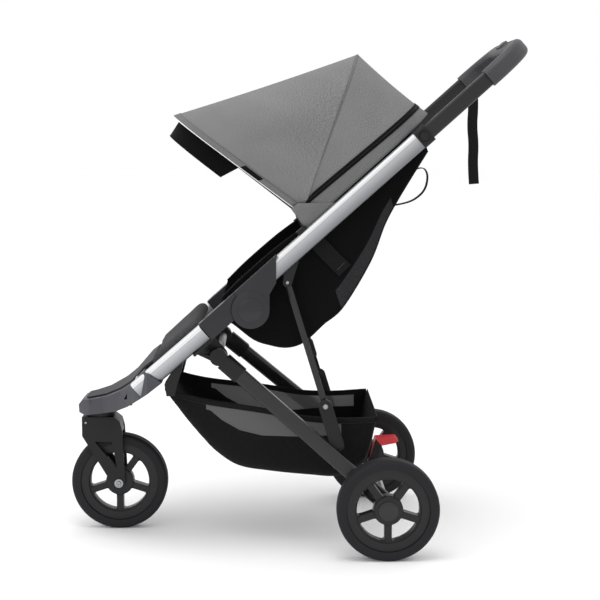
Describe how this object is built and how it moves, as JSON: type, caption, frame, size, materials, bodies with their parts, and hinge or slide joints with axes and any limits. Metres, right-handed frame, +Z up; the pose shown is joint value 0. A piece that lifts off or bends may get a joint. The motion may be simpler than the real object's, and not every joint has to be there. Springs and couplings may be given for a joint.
{
  "type": "jogging stroller",
  "caption": "Folding three-wheel stroller with an angled aluminium frame, swivelling front wheel, sliding handle, hooded sling seat, under-seat basket and a foot brake.",
  "frame": {"origin": "on the floor, under the middle of the whole object", "axes": "+X towards the rider's left, -Y towards the front wheel, +Z up"},
  "size_m": [0.56, 0.9236, 1.0119],
  "materials": {
    "silver_rail": "satin anodised",
    "black_tube": "black powder coat",
    "steel": "brushed",
    "housing": "dark blue-grey moulded",
    "black_plastic": "fine grained",
    "disc": "semi gloss",
    "tread": "ribbed",
    "tyre": "foam rubber",
    "rim": "satin black",
    "grip": "dark grey leatherette",
    "canopy_cloth": "grey melange weave",
    "black_cloth": "black weave",
    "grey_cloth": "dark grey weave",
    "webbing": "black webbing",
    "red": "coral red"
  },
  "bodies": {
    "lower_frame": {"lower_rail_left": "silver_rail", "lower_rail_right": "silver_rail", "hinge_base_left": "housing", "hinge_base_right": "housing", "front_nose": "housing", "footrest_tread": "tread", "swivel_socket": "black_plastic", "leg_brackets": "black_plastic", "leg_pivot_shaft": "steel", "basket_clips": "black_plastic", "calf_rest": "grey_cloth", "basket": "black_cloth"},
    "upper_frame": {"upper_rail_left": "silver_rail", "upper_rail_right": "silver_rail", "hinge_arm_left": "housing", "hinge_arm_right": "housing", "hinge_covers": "disc", "rail_collars": "black_plastic", "strut_tabs": "black_plastic", "canopy_mounts": "black_plastic", "canopy_rear_strip": "canopy_cloth", "side_straps": "webbing", "seat_side_left": "black_cloth", "seat_side_right": "black_cloth", "seat_base": "black_cloth"},
    "handle": {"handle_tube": "black_tube", "handle_grip": "grip", "leash_strap": "webbing"},
    "handle_button_left": {"handle_button_left": "black_plastic"},
    "handle_button_right": {"handle_button_right": "black_plastic"},
    "rear_legs": {"rear_leg_left": "black_tube", "rear_leg_right": "black_tube", "leg_heads": "black_plastic", "leg_feet": "black_plastic", "rear_axle": "steel", "strut_brackets": "black_plastic"},
    "struts": {"strut_left": "black_tube", "strut_right": "black_tube"},
    "strut_latch": {"strut_latch": "black_plastic"},
    "front_fork": {"front_fork": "black_plastic", "front_axle": "steel"},
    "front_wheel": {"tyre_front": "tyre", "rim_front": "rim"},
    "rear_left_wheel": {"tyre_rear_left": "tyre", "rim_rear_left": "rim", "hub_cap_left": "disc"},
    "rear_right_wheel": {"tyre_rear_right": "tyre", "rim_rear_right": "rim", "hub_cap_right": "disc"},
    "swivel_lock": {"swivel_lock": "black_plastic"},
    "brake_pedal": {"brake_pedal": "red"},
    "mid_bow": {"mid_bow": "black_tube", "canopy_rear_panel": "canopy_cloth"},
    "front_bow": {"front_bow": "black_tube", "canopy_front_panel": "canopy_cloth"},
    "visor": {"visor": "black_plastic"},
    "backrest": {"seat_back_cover": "black_cloth", "back_board": "black_plastic", "back_pad": "black_cloth", "recline_strap": "webbing"}
  },
  "joints": [
    {"name": "fold", "type": "hinge", "parent": "lower_frame", "child": "upper_frame", "pos_m": [0, -0.08384, 0.4845], "axis": [1, 0, 0], "range_deg": [-120, 0], "deforming": ["seat_base", "seat_side_left", "seat_side_right", "calf_rest", "seat_back_cover"]},
    {"name": "leg_fold", "type": "hinge", "parent": "lower_frame", "child": "rear_legs", "pos_m": [0, -0.14814, 0.3861], "axis": [1, 0, 0], "range_deg": [-70, 1], "deforming": ["basket"]},
    {"name": "strut_swing", "type": "hinge", "parent": "rear_legs", "child": "struts", "pos_m": [0, 0.06256, 0.2908], "axis": [1, 0, 0], "range_deg": [-1, 33.4]},
    {"name": "strut_latch_slide", "type": "slide", "parent": "struts", "child": "strut_latch", "axis": [0, -0.2908, 0.9568], "range_m": [0, 0.01]},
    {"name": "handle_slide", "type": "slide", "parent": "upper_frame", "child": "handle", "axis": [0, 0.7455, 0.6665], "range_m": [-0.11, 0]},
    {"name": "handle_button_left_press", "type": "slide", "parent": "upper_frame", "child": "handle_button_left", "axis": [1, 0, 0], "range_m": [-0.002, 0], "stiffness_N_per_m": 500, "springref_m": 0.002},
    {"name": "handle_button_right_press", "type": "slide", "parent": "upper_frame", "child": "handle_button_right", "axis": [1, 0, 0], "range_m": [0, 0.002], "stiffness_N_per_m": 500, "springref_m": -0.002},
    {"name": "front_swivel", "type": "hinge", "parent": "lower_frame", "child": "front_fork", "pos_m": [0, -0.39984, 0.25], "axis": [0, 0, 1], "continuous": true},
    {"name": "front_wheel_spin", "type": "hinge", "parent": "front_fork", "child": "front_wheel", "pos_m": [0, -0.36184, 0.1], "axis": [1, 0, 0], "continuous": true},
    {"name": "rear_left_wheel_spin", "type": "hinge", "parent": "rear_legs", "child": "rear_left_wheel", "pos_m": [0.259, 0.18216, 0.1], "axis": [1, 0, 0], "continuous": true},
    {"name": "rear_right_wheel_spin", "type": "hinge", "parent": "rear_legs", "child": "rear_right_wheel", "pos_m": [-0.259, 0.18216, 0.1], "axis": [1, 0, 0], "continuous": true},
    {"name": "swivel_lock_turn", "type": "hinge", "parent": "lower_frame", "child": "swivel_lock", "pos_m": [0, -0.34184, 0.263], "axis": [0, 0, 1], "range_deg": [-90, 0]},
    {"name": "brake_press", "type": "hinge", "parent": "rear_legs", "child": "brake_pedal", "pos_m": [-0.183, 0.18216, 0.1], "axis": [1, 0, 0], "range_deg": [-18, 0]},
    {"name": "canopy_mid_bow", "type": "hinge", "parent": "upper_frame", "child": "mid_bow", "pos_m": [0, 0.01656, 0.669], "axis": [1, 0, 0], "range_deg": [-21, 0], "deforming": ["canopy_rear_panel"]},
    {"name": "canopy_front_bow", "type": "hinge", "parent": "mid_bow", "child": "front_bow", "pos_m": [0, 0.01656, 0.669], "axis": [1, 0, 0], "range_deg": [-64, 0], "deforming": ["canopy_front_panel"]},
    {"name": "visor_tuck", "type": "hinge", "parent": "front_bow", "child": "visor", "pos_m": [0, 0.01656, 0.669], "axis": [1, 0, 0], "range_deg": [-8, 0]},
    {"name": "backrest_recline", "type": "hinge", "parent": "upper_frame", "child": "backrest", "pos_m": [0, 0.09896, 0.487], "axis": [1, 0, 0], "range_deg": [-22, 0]}
  ],
  "couplings": [
    {"joint": "leg_fold", "follows": "fold", "ratio": 0.575},
    {"joint": "strut_swing", "follows": "fold", "ratio": -0.27}
  ]
}
